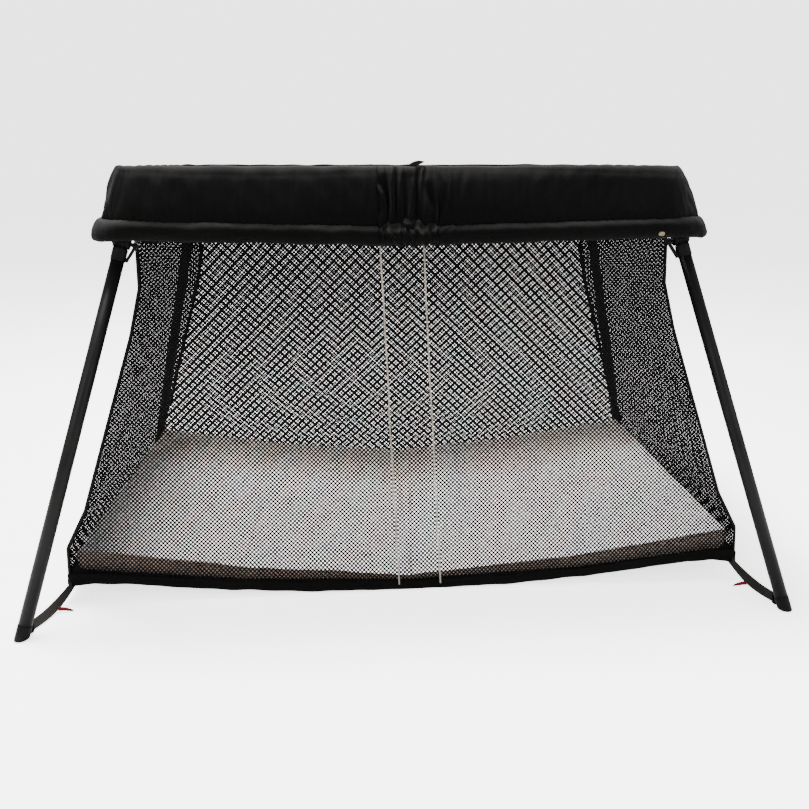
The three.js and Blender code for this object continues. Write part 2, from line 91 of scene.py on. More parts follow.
# ------------------------ camera
def make_camera():
    """The photograph's viewpoint."""
    data = bpy.data.cameras.new("camera")
    data.sensor_width = 36.0
    data.lens = 35.63
    data.shift_x = -0.0172
    camera = bpy.data.objects.new("camera", data)
    camera.location = (-0.069, -1.433, 0.648)
    camera.rotation_euler = (math.radians(90 - 16.92), 0, math.radians(-4.08))
    bpy.context.scene.collection.objects.link(camera)
    bpy.context.scene.camera = camera


make_camera()

# ------------------------ materials
def node_material(name, base, roughness, metallic=0.0, sheen=0.0, coat=0.0, specular=0.5):
    """A Principled material with its node tree, ready for more nodes."""
    material = bpy.data.materials.new(name)
    material.use_nodes = True
    tree = material.node_tree
    shader = tree.nodes["Principled BSDF"]
    shader.inputs["Base Color"].default_value = (*base, 1)
    shader.inputs["Roughness"].default_value = roughness
    shader.inputs["Metallic"].default_value = metallic
    shader.inputs["Specular IOR Level"].default_value = specular
    shader.inputs["Sheen Weight"].default_value = sheen
    shader.inputs["Sheen Roughness"].default_value = 0.5
    shader.inputs["Coat Weight"].default_value = coat
    return material, tree, shader


def texture(tree, kind, scale, detail=None):
    """A texture node in object coordinates."""
    node = tree.nodes.new(kind)
    node.inputs["Scale"].default_value = scale
    if detail is not None:
        node.inputs["Detail"].default_value = detail
    tree.links.new(tree.nodes.new("ShaderNodeTexCoord").outputs["Object"], node.inputs["Vector"])
    return node


def ramp(tree, factor, low, high, start=0.0, end=1.0):
    """A colour ramp between two colours."""
    node = tree.nodes.new("ShaderNodeValToRGB")
    node.color_ramp.elements[0].position = start
    node.color_ramp.elements[0].color = (*low, 1)
    node.color_ramp.elements[1].position = end
    node.color_ramp.elements[1].color = (*high, 1)
    tree.links.new(factor, node.inputs["Fac"])
    return node.outputs["Color"]


def spread(tree, factor, low, high):
    """A value that runs from low to high as factor runs from 0 to 1."""
    node = tree.nodes.new("ShaderNodeMapRange")
    node.inputs["To Min"].default_value = low
    node.inputs["To Max"].default_value = high
    tree.links.new(factor, node.inputs["Value"])
    return node.outputs["Result"]


def blended(tree, factor, first, second):
    """The first colour where factor is 0, and the second where it is 1."""
    mix = tree.nodes.new("ShaderNodeMix")
    mix.data_type = "RGBA"
    tree.links.new(factor, mix.inputs[0])
    tree.links.new(first, mix.inputs[6])
    tree.links.new(second, mix.inputs[7])
    return mix.outputs[2]


def bump(tree, shader, height, strength, distance, under=None):
    """Relief from a height, laid over the relief under it."""
    node = tree.nodes.new("ShaderNodeBump")
    node.inputs["Strength"].default_value = strength
    node.inputs["Distance"].default_value = distance
    tree.links.new(height, node.inputs["Height"])
    if under is not None:
        tree.links.new(under, node.inputs["Normal"])
    tree.links.new(node.outputs["Normal"], shader.inputs["Normal"])
    return node.outputs["Normal"]


WAVE_SCALE = 20  # a wave texture's phase, in radians a metre at scale 1


def weave_height(tree, pitch):
    """Crossed threads, a pitch apart along two directions of the surface's own map."""
    cloth_map = tree.nodes.new("ShaderNodeTexCoord").outputs["UV"]
    waves = []
    for direction in ("X", "Y"):
        wave = tree.nodes.new("ShaderNodeTexWave")
        wave.wave_type = "BANDS"
        wave.bands_direction = direction
        wave.wave_profile = "SIN"
        wave.inputs["Scale"].default_value = 1 / (pitch * WAVE_SCALE / math.tau)
        wave.inputs["Distortion"].default_value = 0.6
        wave.inputs["Detail"].default_value = 1.0
        wave.inputs["Detail Scale"].default_value = 2.0
        tree.links.new(cloth_map, wave.inputs["Vector"])
        waves.append(wave.outputs["Fac"])
    both = tree.nodes.new("ShaderNodeMath")
    both.operation = "MAXIMUM"
    tree.links.new(waves[0], both.inputs[0])
    tree.links.new(waves[1], both.inputs[1])
    return both.outputs["Value"]


def facing_up(tree, start, end):
    """How far a surface faces upward, from 0 at one height of its normal to 1 at another."""
    normal = tree.nodes.new("ShaderNodeSeparateXYZ")
    tree.links.new(tree.nodes.new("ShaderNodeNewGeometry").outputs["Normal"], normal.inputs[0])
    return ramp(tree, normal.outputs["Z"], (0, 0, 0), (1, 1, 1), start, end)


def fabric(name, dark, light, pitch, roughness=0.85, sheen=0.3, strength=0.35, specular=0.05, top_highlight=None):
    """Woven cloth: threads in relief, slow colour drift, and upward-facing tops painted lighter as a painted
    highlight from the overhead light.
    """
    material, tree, shader = node_material(name, dark, roughness, sheen=sheen, specular=specular)
    drift = texture(tree, "ShaderNodeTexNoise", 9.0, 5.0)
    colour = ramp(tree, drift.outputs["Fac"], dark, light, 0.3, 0.75)
    # Painted highlight: faces that point up get a lighter colour, standing in for the overhead light on the
    # crowns.
    if top_highlight:
        painted_top_highlight = ramp(tree, drift.outputs["Fac"], top_highlight, tuple(c * 1.5 for c in top_highlight), 0.3, 0.75)
        colour = blended(tree, facing_up(tree, 0.4, 0.95), colour, painted_top_highlight)
    tree.links.new(colour, shader.inputs["Base Color"])
    rough = spread(tree, drift.outputs["Fac"], roughness - 0.08, min(roughness + 0.08, 1.0))
    tree.links.new(rough, shader.inputs["Roughness"])
    crease = texture(tree, "ShaderNodeTexNoise", 55.0, 3.0)
    under = bump(tree, shader, crease.outputs["Fac"], 0.25, 0.002)
    bump(tree, shader, weave_height(tree, pitch), strength, pitch * 0.35, under)
    return material


def painted_tube():
    """Dark enamel with fine grain, a soft coat and faint scuffs along the tube."""
    material, tree, shader = node_material("leg_enamel", (0.004, 0.004, 0.004), 0.45, coat=0.01, specular=0.1)
    scuff = texture(tree, "ShaderNodeTexNoise", 18.0, 8.0)
    colour = ramp(tree, scuff.outputs["Fac"], (0.002, 0.002, 0.002), (0.006, 0.0059, 0.0055), 0.35, 0.8)
    tree.links.new(colour, shader.inputs["Base Color"])
    tree.links.new(spread(tree, scuff.outputs["Fac"], 0.38, 0.6), shader.inputs["Roughness"])
    grain = texture(tree, "ShaderNodeTexNoise", 900.0, 2.0)
    bump(tree, shader, grain.outputs["Fac"], 0.12, 0.0003)
    return material


def moulded_plastic(name, base, roughness=0.5):
    """Injection-moulded plastic with a spark-eroded grain and slight handling wear."""
    material, tree, shader = node_material(name, base, roughness, specular=0.07)
    wear = texture(tree, "ShaderNodeTexNoise", 30.0, 6.0)
    lighter = tuple(min(1.0, c * 1.9 + 0.004) for c in base)
    tree.links.new(ramp(tree, wear.outputs["Fac"], base, lighter, 0.45, 0.85), shader.inputs["Base Color"])
    rough = spread(tree, wear.outputs["Fac"], roughness - 0.12, roughness + 0.12)
    tree.links.new(rough, shader.inputs["Roughness"])
    grain = texture(tree, "ShaderNodeTexVoronoi", 1400.0)
    bump(tree, shader, grain.outputs["Distance"], 0.18, 0.0002)
    return material


def bare_metal(name, base, roughness):
    """Turned or drawn metal with fine scratches."""
    material, tree, shader = node_material(name, base, roughness, 1.0)
    scratches = texture(tree, "ShaderNodeTexNoise", 220.0, 6.0)
    rough = spread(tree, scratches.outputs["Fac"], roughness - 0.1, roughness + 0.18)
    tree.links.new(rough, shader.inputs["Roughness"])
    colour = ramp(tree, scratches.outputs["Fac"], tuple(c * 0.75 for c in base), base, 0.3, 0.7)
    tree.links.new(colour, shader.inputs["Base Color"])
    bump(tree, shader, scratches.outputs["Fac"], 0.1, 0.0002)
    return material


def foam_cover():
    """Knitted cover: cream, with a painted shadow in beige towards the far edge and painted shade in brown on
    the sides, fine ribs and faint stains.
    """
    material, tree, shader = node_material("mattress_cover", (0.8, 0.77, 0.71), 0.9, sheen=0.1, specular=0.1)
    stain = texture(tree, "ShaderNodeTexNoise", 4.0, 6.0)
    cream = ramp(tree, stain.outputs["Fac"], (0.88, 0.85, 0.81), (0.95, 0.94, 0.93), 0.3, 0.55)
    beige = ramp(tree, stain.outputs["Fac"], (0.76, 0.65, 0.55), (0.92, 0.87, 0.8), 0.35, 0.6)
    # Painted shade: faces that do not point up are coloured brown, standing in for the sides lying in shade.
    side = ramp(tree, stain.outputs["Fac"], (0.66, 0.47, 0.37), (0.92, 0.77, 0.67), 0.3, 0.7)
    place = tree.nodes.new("ShaderNodeSeparateXYZ")
    tree.links.new(tree.nodes.new("ShaderNodeTexCoord").outputs["Object"], place.inputs[0])
    # Painted shadow: the top turns beige towards the far edge, standing in for the shadow of the far padding.
    far = ramp(tree, place.outputs["Y"], (0, 0, 0), (1, 1, 1), 0.075, 0.13)
    top = blended(tree, far, cream, beige)
    tree.links.new(blended(tree, facing_up(tree, 0.35, 0.85), side, top), shader.inputs["Base Color"])
    crease = texture(tree, "ShaderNodeTexNoise", 30.0, 5.0)
    under = bump(tree, shader, crease.outputs["Fac"], 0.4, 0.003)
    bump(tree, shader, weave_height(tree, 0.0016), 0.35, 0.0006, under)
    return material


def stage_material():
    """A pale studio sweep, slightly mottled, that looks brighter to the camera than it lights."""
    material, tree, shader = node_material("studio_sweep", (0.86, 0.86, 0.86), 0.75, specular=0.2)
    shader.inputs["Emission Color"].default_value = (1, 1, 1, 1)
    seen = tree.nodes.new("ShaderNodeLightPath").outputs["Is Camera Ray"]
    tree.links.new(spread(tree, seen, 0.0, FLOOR_GLOW), shader.inputs["Emission Strength"])
    mottle = texture(tree, "ShaderNodeTexNoise", 3.0, 4.0)
    colour = ramp(tree, mottle.outputs["Fac"], (0.84, 0.84, 0.84), (0.88, 0.88, 0.88))
    tree.links.new(colour, shader.inputs["Base Color"])
    return material


LOOK = {
    "leg_tube": painted_tube(),
    "rail_tube": bare_metal("rail_metal", (0.5, 0.5, 0.51), 0.38),
    "plastic": moulded_plastic("black_plastic", (0.0015, 0.0015, 0.0015), 0.6),
    "brass": bare_metal("blackened_brass", (0.012, 0.011, 0.009), 0.5),
    "steel": bare_metal("blued_steel", (0.015, 0.015, 0.016), 0.5),
    "button": moulded_plastic("button_plastic", (0.05, 0.05, 0.052), 0.45),
    # The padding's top colour is a painted highlight: lighter on faces that point up.
    "padding": fabric("padding_cloth", (0.0003, 0.0003, 0.0003), (0.0013, 0.0011, 0.001), 0.0012,
                      roughness=0.8, sheen=0.024, specular=0.04, top_highlight=(0.012, 0.0115, 0.0105)),
    "net": fabric("net_yarn", (0.0009, 0.0008, 0.0008), (0.0022, 0.002, 0.002), 0.0006,
                  sheen=0.004, strength=0.5),
    "webbing": fabric("strap_webbing", (0.010, 0.0095, 0.0085), (0.026, 0.024, 0.021), 0.0022,
                      sheen=0.03, strength=0.8),
    "mattress": foam_cover(),
    "ribbon": fabric("red_ribbon", (0.09, 0.003, 0.007), (0.2, 0.009, 0.017), 0.0008,
                     sheen=0.05, strength=0.5),
    "tape": fabric("light_tape", (0.17, 0.15, 0.125), (0.3, 0.27, 0.235), 0.0009,
                   sheen=0.05, strength=0.5),
    "snap": moulded_plastic("beige_snap", (0.17, 0.14, 0.09), 0.5),
    "leather": fabric("pull_leather", (0.006, 0.0028, 0.002), (0.018, 0.008, 0.006), 0.0011,
                      roughness=0.6, sheen=0.0),
}


# ------------------------ meshes
def mesh_object(name, vertices, faces, look, uvs, tidy_normals=True):
    """A smooth mesh piece. uvs holds one pair for each face corner, in metres along the cloth."""
    mesh = bpy.data.meshes.new(name)
    points = [tuple(v) for v in np.asarray(vertices, float).reshape(-1, 3)]
    mesh.from_pydata(points, [], [list(map(int, f)) for f in faces])
    layer = mesh.uv_layers.new(name="cloth")
    layer.data.foreach_set("uv", np.asarray(uvs, np.float32).ravel())
    mesh.materials.append(LOOK[look])
    mesh.polygons.foreach_set("use_smooth", [True] * len(mesh.polygons))
    mesh.update()
    if tidy_normals:
        shell = bmesh.new()
        shell.from_mesh(mesh)
        bmesh.ops.recalc_face_normals(shell, faces=shell.faces)
        shell.to_mesh(mesh)
        shell.free()
    piece = bpy.data.objects.new(name, mesh)
    bpy.context.scene.collection.objects.link(piece)
    return piece


def lattice(points, around=False, capped=False):
    """Vertices, faces and corner uvs of a surface through rows of points, closed round each row or not."""
    rows, columns = points.shape[:2]
    step = np.linalg.norm(np.diff(points, axis=0), axis=2).mean(axis=1)
    along = np.concatenate([[0], np.cumsum(step)])
    ring = np.concatenate([points, points[:, :1]], axis=1)
    across = np.concatenate([[0], np.cumsum(np.linalg.norm(np.diff(ring, axis=1), axis=2).mean(axis=0))])
    i, j = np.meshgrid(np.arange(rows - 1), np.arange(columns if around else columns - 1), indexing="ij")
    i, j = i.ravel(), j.ravel()
    k = (j + 1) % columns
    faces = np.stack([i * columns + j, i * columns + k, (i + 1) * columns + k, (i + 1) * columns + j], axis=1)
    uvs = np.stack([
        np.stack([along[i], across[j]], axis=1), np.stack([along[i], across[j + 1]], axis=1),
        np.stack([along[i + 1], across[j + 1]], axis=1), np.stack([along[i + 1], across[j]], axis=1),
    ], axis=1).reshape(-1, 2)
    faces = [list(f) for f in faces]
    if capped:
        for start in (0, (rows - 1) * columns):
            faces.append(list(range(start, start + columns)))
            uvs = np.concatenate([uvs, points[0 if start == 0 else -1][:, :2]])
    return points.reshape(-1, 3), faces, uvs


def joined_lattices(name, parts, look):
    """One piece made of several surfaces."""
    vertices, faces, uvs, base = [], [], [], 0
    for part_vertices, part_faces, part_uvs in parts:
        vertices.append(part_vertices)
        faces += [[v + base for v in f] for f in part_faces]
        uvs.append(part_uvs)
        base += len(part_vertices)
    return mesh_object(name, np.concatenate(vertices), faces, look, np.concatenate(uvs))


def closed_piece(name, grid, look):
    """One piece, closed round each row of a grid and capped at both ends."""
    vertices, faces, uvs = lattice(grid, True, True)
    return mesh_object(name, vertices, faces, look, uvs)


def repeated(direction, count):
    """The same direction at every station."""
    return np.tile(direction, (count, 1))


def strip_section(half_thickness, half_heights):
    """A flat strip's outline at each station, each with its own height."""
    scale = np.stack([np.ones(len(half_heights)), half_heights], axis=1)
    return oval(half_thickness, 1.0, 16, 4.0)[None] * scale[:, None]


def swept(centres, sides, ups, section):
    """A section carried along stations. Its points are [to the side, up], the same or their own at each."""
    section = np.broadcast_to(section, (len(centres), *np.shape(section)[-2:]))
    return centres[:, None] + section[..., :1] * sides[:, None] + section[..., 1:] * ups[:, None]


def unit(v):
    """Each vector at length 1."""
    v = np.asarray(v, float)
    return v / np.linalg.norm(v, axis=-1, keepdims=True)


def oval(half_width, half_height, points=24, power=2.0):
    """A closed outline between an ellipse (power 2) and a rectangle (a high power)."""
    t = np.linspace(0, math.tau, points, endpoint=False)
    c, s = np.cos(t), np.sin(t)
    return np.stack([
        half_width * np.sign(c) * np.abs(c) ** (2 / power),
        half_height * np.sign(s) * np.abs(s) ** (2 / power),
    ], axis=1)


def turned(profile, sides=48):
    """A lathe shape about z from [radius, height] pairs."""
    t = np.linspace(0, math.tau, sides, endpoint=False)
    ring = np.stack([np.cos(t), np.sin(t)], axis=1)
    return np.array([[(r * x, r * y, z) for x, y in ring] for r, z in profile])


def ripples(a, b, wavelength, seed):
    """Smooth folds with no set direction, from about -1 to 1."""
    chance = np.random.default_rng(seed)
    total = 0.0
    for _ in range(7):
        heading = chance.uniform(0, math.tau)
        rate = chance.uniform(0.6, 1.5) / wavelength
        phase = chance.uniform(0, math.tau)
        total = total + np.sin(math.tau * rate * (a * math.cos(heading) + b * math.sin(heading)) + phase)
    return total / 3.5


def near_to(value, place, width):
    """A bell that is 1 at a place."""
    return np.exp(-(((value - place) / width) ** 2))


def turn_half(points, half):
    """Local points, drawn for the left half, put where the half is."""
    points = np.array(points, float)
    if half == "right":
        points[..., :2] *= -1
    return points


def side_name(half, side):
    """The name of the side that a half's local side lies on."""
    return {"left": {-1: "near", 1: "far"}, "right": {-1: "far", 1: "near"}}[half][side]


def pack_flat(piece, half):
    """The piece rides on its half's frame body as the frame folds, with a mesh of its own."""
    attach(piece, f"{half}_frame")
    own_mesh(piece)


# ------------------------ rail padding
def rail_stations(start, spacing=0.003):
    """Plan points of the left half's rail from its near end, their outward directions and distances."""
    centre_x, centre_y = RAIL_X - RAIL_BEND, RAIL_Y - RAIL_BEND
    places, outs = [], []

    def line(p, q, out):
        count = int(np.linalg.norm(np.subtract(q, p)) / spacing)
        for t in np.linspace(0, 1, count, endpoint=False):
            places.append(np.add(p, t * np.subtract(q, p)))
            outs.append(out)

    def arc(side, first, last):
        for t in np.linspace(0, 1, 36, endpoint=False):
            angle = first + (last - first) * t
            out = np.array([-math.sin(angle), side * math.cos(angle)])
            places.append(np.array([-centre_x, side * centre_y]) + RAIL_BEND * out)
            outs.append(out)

    line((-start, -RAIL_Y), (-centre_x, -RAIL_Y), (0, -1))
    arc(-1, 0, math.pi / 2)
    line((-RAIL_X, -centre_y), (-RAIL_X, centre_y), (-1, 0))
    arc(1, math.pi / 2, 0)
    line((-centre_x, RAIL_Y), (-start, RAIL_Y), (0, 1))
    places.append(np.array((-start, RAIL_Y)))
    outs.append((0, 1))
    places, outs = np.array(places, float), np.array(outs, float)
    gone = np.concatenate([[0], np.cumsum(np.linalg.norm(np.diff(places, axis=0), axis=1))])
    return places, outs, gone


def roll_section(gone, corner, gather, seed):
    """The roll's outline at each station: puckered beside its seams, drooping outward round the corners."""
    t = np.linspace(0, math.tau, 48, endpoint=False)[None, :]
    s = gone[:, None]
    radius = ROLL_RADIUS + 0.0007 * ripples(s, t * 0.02, 0.11, seed)
    radius = radius + 0.0004 * ripples(s, t * 0.012, 0.028, seed + 1)
    pucker = np.sin(math.tau * s / 0.0095 + 1.6 * ripples(s, 0 * s, 0.05, seed + 2))
    for seam in ROLL_SEAMS:
        radius = radius - 0.0011 * near_to(t, seam, 0.1) + 0.00045 * pucker * near_to(t, seam, 0.45)
    folds = np.sin(math.tau * s / 0.0105 + 2.2 * ripples(s, t * 0.02, 0.035, seed + 3))
    radius = radius + gather * (0.0013 * folds + 0.0008 * ripples(s, t * 0.01, 0.014, seed + 4))
    droop = corner[:, None]
    out = radius * np.cos(t)
    up = radius * np.sin(t)
    lip = np.clip(np.cos(t + 0.6), 0, 1) ** 2 * droop
    tuck = np.clip(np.cos(t + 1.9), 0, 1) ** 2 * droop
    return np.stack([out + 0.0055 * lip, up - 0.0080 * lip + 0.0070 * tuck], axis=2)


def band_section(gone, corner, base, gather, seed, at_end=0.0, end_lean=0.0):
    """The standing band's outline at each station, from its overhang on the roll to its rounded top."""
    t = np.linspace(0, math.tau, 72, endpoint=False)[None, :]
    s = gone[:, None]
    v = np.sign(np.sin(t)) * np.abs(np.sin(t)) ** (2 / 3.6)
    w = np.sign(np.cos(t)) * np.abs(np.cos(t)) ** (2 / 2.6)
    low = (base + 0.0095)[:, None]
    rise = (BAND_TOP - low) / 2
    thick = 0.0086 - 0.0006 * v - 0.0016 * corner[:, None]
    swell = 0.0011 * ripples(s, v * rise, 0.14, seed) + 0.0004 * ripples(s, v * rise, 0.035, seed + 1)
    tuck = 0.0007 * np.sin(math.tau * s / 0.011 + ripples(s, v * 0.01, 0.05, seed + 2))
    tuck = tuck * near_to(v, -1.0, 0.3)
    hem = -0.0003 * near_to(v, 0.78 - 0.1 * np.sin(s * 9), 0.08)
    folds = np.sin(math.tau * s / 0.0165 + 2.6 * ripples(s, v * 0.02, 0.045, seed + 3))
    folds = folds * (0.65 + 0.35 * np.cos(2.4 * v))
    creases = ripples(s, v * 0.006, 0.016, seed + 6) * gather
    fan = ripples(s * 0.8 + v * 0.02, s * 0.4, 0.04, seed + 7) * corner[:, None]
    outer = 0.5 + 0.5 * np.sign(w)
    shift = swell + tuck + hem + outer * (gather * 0.0034 * folds + 0.002 * creases + 0.0026 * fan)
    lean = -BAND_LEAN * ((v + 1) / 2) ** (1.25 - 0.35 * at_end) + at_end * end_lean * (0.3 - (v + 1) / 2)
    crown = (0.0006 + 0.0013 * gather) * ripples(s, 0 * v, 0.07, seed + 4) * np.clip(v, 0, 1)
    return np.stack([thick * w + lean + shift, (low + rise) + rise * v + crown], axis=2)


def padding_piece(name, grid, half):
    """A padding surface drawn for the left half, mapped before it is turned."""
    vertices, faces, uvs = lattice(grid, True, True)
    return mesh_object(name, turn_half(vertices, half), faces, "padding", uvs)


# The photo's two halves differ: how far each is gathered by the sleeve, and how its end stands.
HALF_CLOTH = {
    "left": {"seed": 10, "by_sleeve": 0.05, "end_lean": -0.002, "end_inset": 0.003},
    "right": {"seed": 40, "by_sleeve": 0.5, "end_lean": 0.009, "end_inset": 0.0015},
}


def make_padding(half):
    """The roll round one half's rail, and the leaning band that stands on it."""
    places, outs, gone = rail_stations(SLEEVE_HALF + SEAM_GAP)
    base = rail_height(places[:, 0])
    at_end = np.clip((np.abs(places[:, 0]) - BEND_X) / 0.04, 0, 1)
    corner = at_end * np.clip((np.abs(places[:, 1]) - 0.15) / 0.05, 0, 1)
    ups = repeated(UP, len(places))
    sides = np.column_stack([outs, np.zeros(len(outs))])
    cloth = HALF_CLOTH[half]

    level = np.column_stack([places, base])
    to_end = np.minimum(gone, gone[-1] - gone)
    gather = (0.12 + cloth["by_sleeve"] * near_to(to_end, 0.0, 0.03))[:, None]
    section = roll_section(gone, corner, gather, cloth["seed"])
    roll = padding_piece(f"{half}_roll_padding", swept(level, sides, ups, section), half)
    flat = np.column_stack([places, np.zeros(len(places))])
    at_end = at_end[:, None]
    section = band_section(gone, corner, base, gather, cloth["seed"] + 5, at_end, cloth["end_lean"])
    section[..., 0] -= at_end * cloth["end_inset"]
    band = padding_piece(f"{half}_band_padding", swept(flat, sides, ups, section), half)
    for piece, node, keep, fill in ((roll, "roll", 0.8, 0.8), (band, "band", 0.13, 0.7)):
        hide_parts(f"{half}_{node}")
        pack_flat(piece, half)


for half_name in HALVES:
    make_padding(half_name)


def make_centre_sleeve(side_label):
    """The gathered cover over one centre hinge: a tube, and a band that splits with the halves."""
    side = SIDES[side_label]
    outward = (0.0, float(side), 0.0)
    stations = np.arange(-SLEEVE_HALF - 0.001, SLEEVE_HALF + 0.0011, 0.001)

    def shape(xs, section, base):
        centres = np.column_stack([xs, np.full(len(xs), side * RAIL_Y), base])
        return swept(centres, repeated(outward, len(xs)), repeated(UP, len(xs)), section)

    still = np.zeros(len(stations))
    ease = np.clip((SLEEVE_HALF - np.abs(stations)) / SLEEVE_EASE, 0, 1)[:, None, None]
    section = roll_section(stations + 3, still, 1.0, 70)
    room = section * (1.22, 1.0)
    under_band = np.clip(1 - (section[..., 0] / 0.0085) ** 2, 0, 1) * (section[..., 1] > 0)
    room[..., 1] += 0.0065 * under_band
    outline = section + (room - section) * ease
    grid = shape(stations, outline, rail_height(stations))
    tube = closed_piece(f"{side_label}_sleeve_tube", grid, "padding")
    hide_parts(f"{side_label}_centre_sleeve")
    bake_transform(tube)
    for half, sign in HALVES.items():
        xs = stations[stations * sign >= -1e-9]
        section = band_section(xs + 3, np.zeros(len(xs)), rail_height(xs) - 0.004, 1.0, 75)
        over_pin = 0.0128 * np.exp(-(xs[:, None] / 0.011) ** 4 - ((section[..., 1] - 0.5575) / 0.010) ** 4)
        section[..., 0] = np.sign(section[..., 0]) * np.maximum(np.abs(section[..., 0]), over_pin)
        grid = shape(xs, section, np.zeros(len(xs)))
        cover = closed_piece(f"{side_label}_{half}_sleeve_band", grid, "padding")
        pack_flat(cover, half)


for side_key in SIDES:
    make_centre_sleeve(side_key)

# ------------------------ net walls
NET_PITCH, NET_ROW = 0.0064, 0.0064
WALL_HOLE, END_HOLE = 0.50, 0.30  # a hole's width over its tile's
CORNER_Z = (0.025, 0.045, 0.083, 0.140, 0.250, 0.400, 0.470, 0.540)
CORNER_X = (0.525, 0.523, 0.5225, 0.4925, 0.457, 0.408, 0.391, 0.391)
WALL_TOP = 0.536
WALL_RIM, WALL_DROP = 0.532, 0.528  # the height that its plan is drawn at, and the drop below
RIM_Y, FOOT_LINE_Y = 0.234, 0.306
EDGE_X = (0.0, 0.15, 0.28, 0.42, 0.485, 0.525)
HEM_BOTTOM = {
    "left": (0.0008, 0.003, 0.010, 0.024, 0.0275, 0.0240),
    "right": (0.0008, 0.004, 0.0125, 0.0285, 0.0315, 0.0260),
}
HEM_HEIGHT, CORNER_HEM, HEM_THICK = 0.014, 0.0205, 0.0011
TAPE_TOP, TAPE_FOOT = 0.530, 0.010
END_HEM_Z, END_REACH, END_SLOPE = 0.030, 0.304, 0.972


def corner_x(z):
    """How far out along X a corner seam stands at a height."""
    return np.interp(z, CORNER_Z, CORNER_X)


def corner_y(z):
    """How far out along Y a corner seam stands at a height."""
    return RIM_Y + (FOOT_LINE_Y - RIM_Y) * (WALL_RIM - z) / WALL_DROP


def long_wall_y(z):
    """How far out a long wall stands: pulled slightly in halfway up, and out beside the mattress."""
    share = (WALL_RIM - z) / WALL_DROP
    return corner_y(z) - 0.005 * np.sin(math.pi * np.clip(share, 0, 1)) + 0.004 * near_to(share, 0.96, 0.05)


def end_wall_x(y, z):
    """How far out an end wall stands: past its corners in the middle, most at the top."""
    bulge = 0.030 * np.clip((z - 0.03) / 0.5, 0, 1) + 0.003
    return corner_x(z) + bulge * (1 - (np.abs(y) / corner_y(z)) ** 3)


def hem_line(x, half):
    """Height of a long hem's lower edge, which sags towards the fold."""
    return np.interp(np.abs(x), EDGE_X, HEM_BOTTOM[half])


def net_tiles(width, drop, hole, keep, place):
    """A net of staggered diamond holes. keep says which tiles are there, and place where they hang."""
    columns = np.arange(-int(width / NET_PITCH) - 1, int(width / NET_PITCH) + 2)
    rows = np.arange(0, int(drop / NET_ROW) + 1)
    i, j = np.meshgrid(columns, rows, indexing="ij")
    even = np.stack([i.ravel() * NET_PITCH, j.ravel() * NET_ROW], axis=1)
    centres = np.concatenate([even, even + (NET_PITCH / 2, NET_ROW / 2)])
    centres = centres[keep(centres[:, 0], centres[:, 1])]
    ring = np.array([(NET_PITCH / 2, 0), (0, NET_ROW / 2), (-NET_PITCH / 2, 0), (0, -NET_ROW / 2)])
    corners = np.concatenate([ring, ring * hole])
    cloth = (centres[:, None] + corners[None]).reshape(-1, 2)
    quads = np.array([(k, (k + 1) % 4, 4 + (k + 1) % 4, 4 + k) for k in range(4)])
    faces = (np.arange(len(centres))[:, None, None] * 8 + quads[None]).reshape(-1, 4)
    area = len(centres) * NET_PITCH * NET_ROW / 2 * (1 - hole ** 2)
    return place(cloth[:, 0], cloth[:, 1]), faces, cloth[faces.ravel()], area


def make_long_wall(half, side):
    """Half of a long wall: its net, its hem, and on the near side its tape."""
    label = f"{side_name(half, side)}_{half}"
    stretch = math.hypot(WALL_DROP, FOOT_LINE_Y - RIM_Y) / WALL_DROP
    lowest = HEM_HEIGHT if side_name(half, side) == "near" else 0.006

    def hem_height(x):
        return np.interp(x, (0.08, 0.22, 0.42, 0.525), (lowest, HEM_HEIGHT, HEM_HEIGHT, CORNER_HEM))

    def keep(a, b):
        z = WALL_TOP - b / stretch
        return (a >= 0) & (a <= corner_x(z)) & (z > hem_line(a, half) + hem_height(a) * 0.6)

    def place(a, b):
        z = WALL_TOP - b / stretch
        ripple = 0.0012 * ripples(a, b, 0.09, 5 + side) * np.clip(b / 0.1, 0, 1)
        return turn_half(np.column_stack([-a, side * (long_wall_y(z) + ripple), z]), half)

    vertices, faces, uvs, area = net_tiles(0.53, 0.54, WALL_HOLE, keep, place)
    wall = mesh_object(f"{label}_net", vertices, faces, "net", uvs, tidy_normals=False)
    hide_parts(f"{label}_wall")

    xs = np.linspace(0.0, 0.523, 130)
    middle = hem_line(xs, half) + hem_height(xs) / 2
    reach = long_wall_y(middle) + 0.001 + 0.0009 * ripples(xs, 0 * xs, 0.06, 9)
    centres = np.column_stack([-xs, side * reach, middle])
    ups = repeated(unit((0, -side * 0.1, 1)), len(xs))
    outs = repeated((0.0, float(side), 0.0), len(xs))
    height = hem_height(xs) / 2 + 0.0006 * ripples(xs, 0 * xs, 0.05, 21)
    grid = swept(centres, outs, ups, strip_section(HEM_THICK, height))
    hem = closed_piece(f"{label}_hem", turn_half(grid, half), "net")
    for piece in (wall, hem):
        pack_flat(piece, half)
    tape_x = {"near_left": (0.040, 0.019), "near_right": (0.024, 0.046)}.get(label)
    if tape_x:
        make_tape(label, half, side, *tape_x)


def make_tape(label, half, side, top_x, bottom_x):
    """The light tape sewn down the outside of the near wall."""
    zs = np.linspace(TAPE_TOP, TAPE_FOOT, 150)
    share = (TAPE_TOP - zs) / (TAPE_TOP - TAPE_FOOT)
    xs = top_x + (bottom_x - top_x) * share + 0.0008 * ripples(zs, 0 * zs, 0.16, 31)
    wave = 0.0005 * ripples(zs, 0 * zs, 0.03, 33)
    centres = np.column_stack([-xs, side * (long_wall_y(zs) + 0.0022 + wave), zs])
    outs = repeated((0.0, float(side), 0.0), len(zs))
    across = repeated((1.0, 0.0, 0.0), len(zs))
    grid = swept(centres, outs, across, oval(0.0004, 0.0012, 14, 4.0))
    tape = closed_piece(f"{label}_light_tape", turn_half(grid, half), "tape")
    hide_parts(f"{label}_tape")
    pack_flat(tape, half)
    return tape


